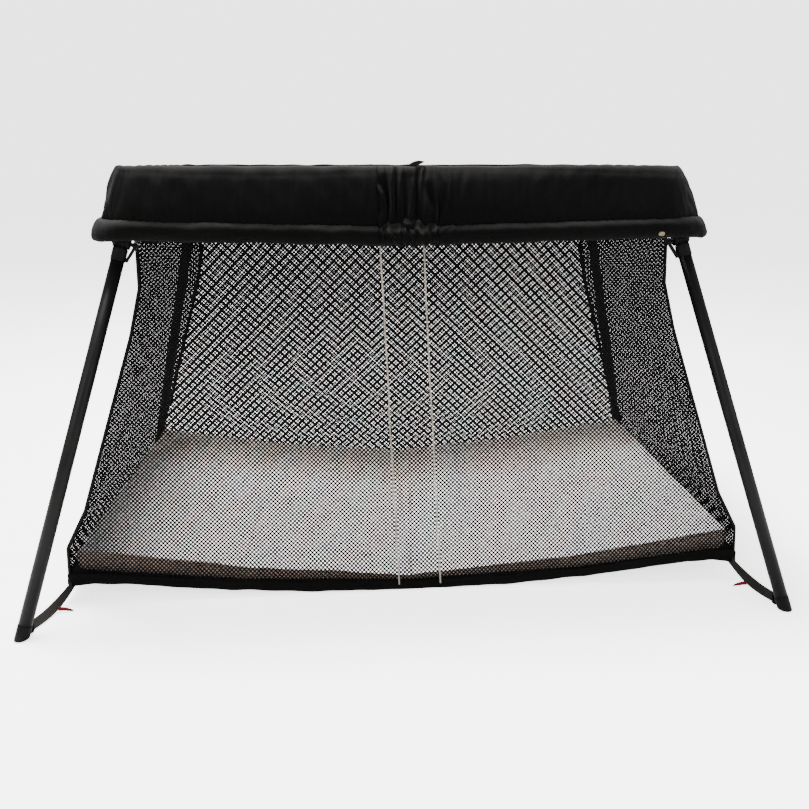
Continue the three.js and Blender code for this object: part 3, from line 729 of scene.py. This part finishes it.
def make_end_wall(half):
    """One end wall: its net, its hem, the two corner seams and the binding under the roll."""
    def height(b):
        return WALL_TOP - b * END_SLOPE

    def keep(a, b):
        z = height(b)
        return (np.abs(a) <= corner_y(z)) & (z > END_HEM_Z + HEM_HEIGHT * 0.6)

    def place(a, b):
        z = height(b)
        ripple = 0.0012 * ripples(a, b, 0.09, 17) * np.clip(b / 0.1, 0, 1)
        return turn_half(np.column_stack([-(end_wall_x(a, z) + ripple), a, z]), half)

    vertices, faces, uvs, area = net_tiles(0.31, 0.56, END_HOLE, keep, place)
    wall = mesh_object(f"{half}_end_net", vertices, faces, "net", uvs, tidy_normals=False)
    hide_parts(f"{half}_end_wall")
    ys = np.linspace(-END_REACH, END_REACH, 130)
    drop = near_to(np.abs(ys), END_REACH, 0.03)
    middle = END_HEM_Z + HEM_HEIGHT / 2 - 0.0025 * drop
    centres = np.column_stack([-(end_wall_x(ys, middle) + 0.001), ys, middle])
    ups = repeated(UP, len(ys))
    outs = repeated((-1.0, 0.0, 0.0), len(ys))
    hem_height = HEM_HEIGHT / 2 + 0.0030 * drop
    grid = swept(centres, outs, ups, strip_section(HEM_THICK, hem_height))
    hem = closed_piece(f"{half}_end_hem", turn_half(grid, half), "net")
    seams = [make_corner_seam(half, side) for side in (-1, 1)]
    binding = make_binding(half)
    for piece in (wall, hem):
        pack_flat(piece, half)


def make_corner_seam(half, side):
    """The bound seam down one corner, where a long wall and an end wall meet."""
    zs = np.linspace(0.537, 0.027, 160)
    out = unit((-1, side, 0))
    centres = np.column_stack([-corner_x(zs), side * corner_y(zs), zs]) + 0.0006 * out
    slope = unit(np.gradient(centres, axis=0))
    outs = repeated(out, len(zs))
    grid = swept(centres, outs, unit(np.cross(slope, outs)), oval(0.0013, 0.0040, 20, 3.0))
    name = f"{side_name(half, side)}_{half}_corner_seam"
    seam = closed_piece(name, turn_half(grid, half), "padding")
    pack_flat(seam, half)
    return seam


def make_binding(half):
    """The cloth strip that carries the nets' top edges out into the roll, open where the leg heads stand."""
    places, outs, _ = rail_stations(0.0)
    along_x, along_y = np.abs(places).T
    inside_roll = np.column_stack([places - 0.0115 * outs, rail_height(along_x) - 0.006])
    net_y = np.minimum(along_y, long_wall_y(WALL_TOP)) * np.sign(places[:, 1])
    on_end = np.abs(outs[:, 0]) > np.abs(outs[:, 1])
    net_x = np.where(on_end, end_wall_x(net_y, WALL_TOP), np.minimum(along_x, corner_x(WALL_TOP)))
    net_edge = np.column_stack([-net_x, net_y, np.full(len(places), WALL_TOP)])
    centres = (inside_roll + net_edge) / 2
    reach = np.linalg.norm(inside_roll - net_edge, axis=1) / 2 + 0.0006
    ups = unit(inside_roll - net_edge)
    sides = unit(np.cross(ups, np.column_stack([outs[:, 1], -outs[:, 0], np.zeros(len(outs))])))
    grid = turn_half(swept(centres, sides, ups, strip_section(0.0006, reach)), half)
    by_head = (along_x > HEAD_X) & (along_y > HEAD_Y)
    runs = np.split(np.arange(len(places)), np.flatnonzero(np.diff(by_head)) + 1)
    strips = [lattice(grid[run], True, True) for run in runs if not by_head[run[0]]]
    binding = joined_lattices(f"{half}_net_binding", strips, "padding")
    pack_flat(binding, half)
    return binding


# ------------------------ floor and mattress
PAD_FOLD_X, PAD_END_X = 0.262, 0.516
INNER_SPAN, END_SPAN = (0.0003, 0.2618), (0.2622, PAD_END_X)
FLOOR_AT, FLOOR_Z = (0.0, PAD_FOLD_X, FLOOR_X), (0.004, 0.013, 0.040)
PAD_AT, PAD_THICK = (0.0, PAD_FOLD_X, PAD_END_X), (0.010, 0.026, 0.039)
PAD_HALF_WIDTH, PAD_END_RADIUS = 0.288, 0.010
PAD_LIFT = 0.001  # how far a pad lies above the floor cloth's middle
PAD_CROWN = 0.0030  # how far its middle rises over its edges


def floor_top(x):
    """Height of the floor cloth, which dips towards the fold."""
    return np.interp(np.abs(x), FLOOR_AT, FLOOR_Z)


def make_floor(half):
    """Half of the floor cloth: two faces, 1.2 mm apart."""
    share, across = np.meshgrid(np.linspace(0, 1, 90), np.linspace(-1, 1, 90), indexing="ij")
    x = share * (end_wall_x(across * FLOOR_Y, FLOOR_Z[-1]) - 0.001)
    y = across * (long_wall_y(floor_top(x)) - 0.0005)
    z = floor_top(x) - 0.0012 + 0.0004 * ripples(x, y, 0.1, 51)
    top = np.stack([-x, y, z], axis=2)
    under = top - (0, 0, 0.0012)
    surfaces = [lattice(turn_half(top, half)), lattice(turn_half(under, half))]
    piece = joined_lattices(f"{half}_floor_cloth", surfaces, "padding")
    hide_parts(f"{half}_floor")
    pack_flat(piece, half)


def make_pad(half, which, from_x, to_x, free_end):
    """A foam panel in a fitted cover: crowned, piped round its upper edge, and flush at its folds."""
    across = np.linspace(PAD_HALF_WIDTH - 0.006, -PAD_HALF_WIDTH + 0.006, 90)
    edge = [(0.276, 0.0), (0.283, 0.02), (0.2865, 0.12), (0.288, 0.3), (0.288, 0.65), (0.2873, 0.84),
            (0.2885, 0.88), (0.2893, 0.93), (0.2886, 0.98), (0.2870, 1.0), (0.2852, 0.985)]
    loop = [(y, 0.0) for y in np.linspace(-0.27, 0.27, 12)] + edge + [(y, 1.0) for y in across]
    loop += [(-y, share) for y, share in reversed(edge)]
    y, share = np.array(loop).T
    reach = to_x - from_x
    xs = from_x + reach * np.linspace(0, 1, 80)
    if free_end:
        rounding = PAD_END_RADIUS * (1 - np.sin(np.linspace(0, math.pi / 2, 12)))
        xs = np.concatenate([xs[xs < to_x - PAD_END_RADIUS], to_x - rounding])
    rows = []
    for x in xs:
        left = (to_x - x) if free_end else 1.0
        full = math.sqrt(max(0.0, 1 - max(0.0, 1 - left / PAD_END_RADIUS) ** 2)) if free_end else 1.0
        full = max(full, 0.02)
        inside = np.clip(PAD_HALF_WIDTH - np.abs(y), 0, 1)
        crown = PAD_CROWN * (1 - np.exp(-inside / 0.028)) * (1 - math.exp(-left / 0.03))
        dent = 0.0013 * ripples(x, y, 0.16, 61) + 0.0005 * ripples(x, y, 0.05, 62)
        crease = -0.0008 * (near_to(x, PAD_FOLD_X, 0.008) + near_to(x, 0.0, 0.008))
        on_top = np.clip((share - 0.95) / 0.05, 0, 1)
        level = 0.5 + (share - 0.5) * full
        z = floor_top(x) + PAD_LIFT + np.interp(x, PAD_AT, PAD_THICK) * level
        z = z + on_top * (crown + dent + crease)
        rows.append(np.column_stack([np.full(len(y), -x), y * (1 - 0.012 * (1 - full)), z]))
    grid = turn_half(np.array(rows), half)
    piece = closed_piece(f"mattress_{half}_{which}_pad", grid, "mattress")
    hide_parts(f"mattress_{half}_{which}")
    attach(piece, f"mattress_{half}" if which == "inner" else f"mattress_{half}_end")
    rise = float(floor_top(to_x) - floor_top(from_x)) / (to_x - from_x)
    anchor = (HALVES[half] * from_x, 0, float(floor_top(from_x)) + PAD_LIFT)
    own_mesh(piece)


for half_name in HALVES:
    make_floor(half_name)
    for side_value in (-1, 1):
        make_long_wall(half_name, side_value)
    make_end_wall(half_name)
    make_pad(half_name, "inner", *INNER_SPAN, False)
    make_pad(half_name, "end", *END_SPAN, True)


# ------------------------ legs, feet and straps
def leg_frame(side):
    """Foot, length and matrix of a left leg: x along its pin, z up the tube."""
    foot = Vector((-FOOT_X, side * FOOT_Y, 0))
    top = Vector((-LEG_TOP.x, side * LEG_TOP.y, LEG_TOP.z))
    down = (foot - top).normalized()
    pivot = foot.lerp(top, PIVOT_Z / LEG_TOP.z)
    level = math.cos(FOLD_SLOPE)
    folded = Vector((side * math.sin(FOLD_TOE) * level, -side * math.cos(FOLD_TOE) * level,
                     -math.sin(FOLD_SLOPE)))
    pin = down.cross(folded).normalized()
    across = (-down).cross(pin)
    turn = Matrix((pin, across, -down)).transposed().to_4x4()
    return foot, (foot - pivot).length, Matrix.Translation(pivot) @ turn


def placed(grid, matrix, half, on_floor=False):
    """A local surface put in a leg's frame, cut level at the floor with a rounded rim."""
    m = np.array(matrix)
    points = grid @ m[:3, :3].T + m[:3, 3]
    if on_floor:
        rim = FOOT_RIM * (np.linalg.norm(grid[..., :2], axis=-1, keepdims=True) / FOOT_RADIUS) ** 8
        points = points + np.maximum(rim - points[..., 2:], 0) / m[2, 2] * m[:3, 2]
    return turn_half(points, half)


def make_leg(half, side):
    """One leg: tube, foot cap with its strap loop, moulded head with its side brace, and the strap."""
    label = f"{side_name(half, side)}_{half}"
    body = f"{label}_leg"
    foot, length, matrix = leg_frame(side)
    low = -length

    tube_heights = (low + TUBE_ABOVE_SOLE, -0.3, -TUBE_BELOW_PIVOT)
    tube = turned([(LEG_RADIUS, height) for height in tube_heights], 64)
    piece = closed_piece(f"{label}_tube", placed(tube, matrix, half), "leg_tube")
    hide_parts(f"{label}_leg_tube")
    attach(piece, body)

    profile = [(r, low - 0.02) for r in (0.0003, 0.0050, 0.0075, 0.0088, 0.0095, 0.0098, FOOT_RADIUS)]
    profile += [(FOOT_RADIUS, low + 0.0200), (0.0099, low + 0.0208)]
    profile += [(0.0092, low + 0.0211), (0.0070, low + 0.0211)]
    way = Vector((FOOT_X - FLOOR_X, side * (FLOOR_Y - FOOT_Y), 0)).normalized()
    side_way = np.array(Vector((0, 0, 1)).cross(way))
    loop = oval(0.0045, 0.0092, 40, 3.2)
    loop = np.vstack([loop, loop[:1]])
    centres = np.array([foot + way * (0.0180 + p[0]) + Vector((0, 0, 0.0104 + p[1])) for p in loop])
    tangent = unit(np.gradient(centres, axis=0))
    tangent[0] = tangent[-1] = unit(tangent[0] + tangent[-1])
    side_ways = repeated(side_way, len(loop))
    ring = swept(centres, side_ways, np.cross(tangent, side_ways), oval(0.0041, 0.0016, 16, 3.0))
    gusset_at = np.linspace(0.003, 0.0160, 8)
    gusset_centres = np.array([foot + way * a + Vector((0, 0, 0.0088 + 0.10 * a)) for a in gusset_at])
    gusset = swept(gusset_centres, repeated(side_way, 8), repeated(UP, 8), oval(0.0040, 0.0084, 28, 2.6))
    piece = joined_lattices(f"{label}_foot_cap", [
        lattice(placed(turned(profile, 56), matrix, half, True), True, True),
        lattice(turn_half(ring, half), True),
        lattice(turn_half(gusset, half), True, True),
    ], "plastic")
    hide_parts(f"{label}_foot")
    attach(piece, body)

    sleeve = turned([(0.0098, -0.0255), (0.0098, -0.0268), (0.0100, -0.0272), (0.0103, -0.0267),
                     (0.0104, -0.0255), (0.0104, -0.0235), (0.0102, -0.0231), (0.0104, -0.0227),
                     (0.0105, -0.0105), (0.0103, -0.0091), (0.0095, -0.0086), (0.0002, -0.0084)], 56)
    eye = turned([(0.0034, -0.0055), (0.0079, -0.0055), (0.0085, -0.0048),
                  (0.0085, 0.0048), (0.0079, 0.0055), (0.0034, 0.0055)], 48)
    neck_z = np.array([-0.0125, -0.008, -0.004, 0.0])
    neck = np.stack([np.column_stack([oval(0.0054, 0.0069, 24, 5.0), np.full(24, z)]) for z in neck_z])
    arm_points = np.array([(0.018, 0.0, 0.0), (0.018, 0.0, -0.004),
                           (0.0150, 0.0, -0.0145), (0.0114, 0.0, -0.0262)])
    arm_way = unit(np.gradient(arm_points, axis=0))
    arm_up = repeated((0.0, 1.0, 0.0), len(arm_points))
    arm = swept(arm_points, unit(np.cross(arm_way, arm_up)), arm_up, oval(0.0018, 0.0040, 20, 4.0))
    arm_eye = turned([(0.0034, 0.016), (0.0054, 0.016), (0.0060, 0.0166),
                      (0.0060, 0.0194), (0.0054, 0.020), (0.0034, 0.020)], 40)
    flip = np.array((float(-side), 1.0, 1.0))
    parts = [sleeve, eye[..., [2, 1, 0]], neck, arm * flip, arm_eye[..., [2, 1, 0]] * flip]
    surfaces = [lattice(placed(p, matrix, half), True, True) for p in parts]
    piece = joined_lattices(f"{label}_head", surfaces, "plastic")
    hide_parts(f"{label}_leg_head")
    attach(piece, body)
    make_strap(label, half, side, foot, way, body)


STRAP_OUT, STRAP_Z = 0.0200, 0.0088  # where a strap leaves its foot
STRAP_END_X, STRAP_END_Y = 0.5190, 0.3005
STRAP_END_Z = {"left": 0.0275, "right": 0.0290}
STRAP_SAG, STRAP_TWIST = 0.0070, 0.28


def make_strap(label, half, side, foot, way, body):
    """The floor's corner strap, with a red ribbon sewn to its lower edge."""
    start = np.array(foot + way * STRAP_OUT + Vector((0, 0, STRAP_Z)))
    end = np.array((-STRAP_END_X, side * STRAP_END_Y, STRAP_END_Z[half]))
    t = np.linspace(0, 1, 60)
    centres = start + (end - start) * t[:, None]
    centres[:, 2] -= STRAP_SAG * np.sin(math.pi * t)
    along = unit(np.gradient(centres, axis=0))
    twist = STRAP_TWIST * np.sin(math.pi * t) * side
    level = unit(np.cross(np.array((0, 0, 1.0)), along))
    rise = np.cross(along, level)
    across = level * np.cos(twist)[:, None] + rise * np.sin(twist)[:, None]
    upward = np.cross(along, across)
    narrowing = np.stack([np.ones(len(t)), 1 - 0.2 * np.clip(t - 0.55, 0, 1) / 0.45], axis=1)
    grid = swept(centres, across, upward, oval(0.0009, 0.0077, 24, 5.0)[None] * narrowing[:, None])
    strap = closed_piece(f"{label}_webbing", turn_half(grid, half), "webbing")

    sewn = centres[33] - upward[33] * 0.0066
    s = np.linspace(0, 1, 24)
    lead = np.column_stack([0.021 * s, side * -0.002 * s, -0.0052 * s + 0.0008 * np.sin(math.pi * s)]) + sewn
    lead_way = unit(np.gradient(lead, axis=0))
    lead_out = unit(np.cross(np.array((0, 0, 1.0)), lead_way))
    taper = ((1 - 0.35 * s) * np.sqrt(1.001 - s ** 6))[:, None, None]
    grid = swept(lead, lead_out, np.cross(lead_way, lead_out), oval(0.0010, 0.0034, 16, 3.0)[None] * taper)
    ribbon = closed_piece(f"{label}_red_ribbon", turn_half(grid, half), "ribbon")
    anchor = turn_half(start, half)
    for piece, node in ((strap, "strap"), (ribbon, "strap_ribbon")):
        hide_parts(f"{label}_{node}")
        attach(piece, body)
        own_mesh(piece)


for half_name in HALVES:
    for side_value in (-1, 1):
        make_leg(half_name, side_value)


def make_tab():
    """The short folded leather tab on the near band's top, lens-shaped and standing up at one end."""
    reach = np.linspace(0, 1, 24)
    centres = np.column_stack([0.0030 + 0.022 * reach, np.full(24, -0.237), 0.6435 + 0.0035 * reach])
    bulge = np.sin(math.pi * reach)
    section = np.stack([oval(0.0017 + 0.0004 * h, 0.0004 + 0.0027 * h, 20, 2.6) for h in bulge])
    grid = swept(centres, repeated((0.0, 1.0, 0.0), 24), repeated(UP, 24), section)
    tab = closed_piece("band_pull_tab", grid, "leather")
    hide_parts("pull_tab")
    pack_flat(tab, frame_half_of("pull_tab"))


SNAP_X, SNAP_Z = 0.3685, 0.5468


def make_snap():
    """The small snap under the near rail's padding, beside its right corner."""
    depth = np.array([-0.0090, -0.0130, -0.0137, -0.0140, -0.0135, -0.0133])
    share = np.array([1.0, 1.0, 0.86, 0.6, 0.5, 0.02])
    centres = np.column_stack([np.full(6, SNAP_X), -RAIL_Y + depth, np.full(6, SNAP_Z)])
    section = oval(0.0046, 0.0031, 28, 2.6)[None] * share[:, None, None]
    grid = swept(centres, repeated((1.0, 0.0, 0.0), 6), repeated(UP, 6), section)
    snap = closed_piece("near_right_snap", grid, "snap")
    pack_flat(snap, "right")


def frame_half_of(node):
    """The half whose body a CAD node rides on."""
    bodies = frame["record"]["behaviour"]["bodies"]
    return next(half for half in HALVES if node in bodies[f"{half}_frame"])


make_tab()
make_snap()

# ------------------------ CAD nodes that stay in view
KEPT = {"rail": "rail_tube", "bracket": "plastic", "pivot_pin": "brass", "hinge_clevis": "plastic",
        "hinge_knuckle": "plastic", "hinge_pin": "steel", "lock_button": "button"}
for node_name, node in frame["nodes"].items():
    for ending, look in KEPT.items():
        if node_name.endswith(ending):
            node.data.materials.clear()
            node.data.materials.append(LOOK[look])


# ------------------------ stage and light
def make_stage():
    """The pale sweep, the world behind it, and three lamps."""
    mesh = bpy.data.meshes.new("studio_floor")
    size = 9.0
    corners = [(-size, -size, 0), (size, -size, 0), (size, size, 0), (-size, size, 0)]
    mesh.from_pydata(corners, [], [(0, 1, 2, 3)])
    mesh.materials.append(stage_material())
    floor = bpy.data.objects.new("studio_floor", mesh)
    bpy.context.scene.collection.objects.link(floor)

    world = bpy.data.worlds.new("studio")
    world.use_nodes = True
    sky = world.node_tree
    sky.nodes["Background"].inputs["Color"].default_value = (1, 1, 1, 1)
    seen = sky.nodes.new("ShaderNodeLightPath").outputs["Is Camera Ray"]
    strength = spread(sky, seen, 1.0, 1.0 + WORLD_GLOW)
    sky.links.new(strength, sky.nodes["Background"].inputs["Strength"])
    bpy.context.scene.world = world

    for name, place, aim, size, power in (
        ("overhead", (-0.35, 0.45, 2.7), (0, 0, 0.2), 0.7, 300),
        ("front_left", (-1.8, -2.2, 1.9), (0, 0, 0.35), 1.4, 60),
        ("front_right", (2.0, -1.8, 1.3), (0, 0, 0.35), 1.4, 35),
    ):
        data = bpy.data.lights.new(name, "AREA")
        data.size = size
        data.energy = power
        lamp = bpy.data.objects.new(name, data)
        lamp.location = place
        lamp.rotation_euler = (Vector(aim) - Vector(place)).to_track_quat("-Z", "Y").to_euler()
        bpy.context.scene.collection.objects.link(lamp)


make_stage()
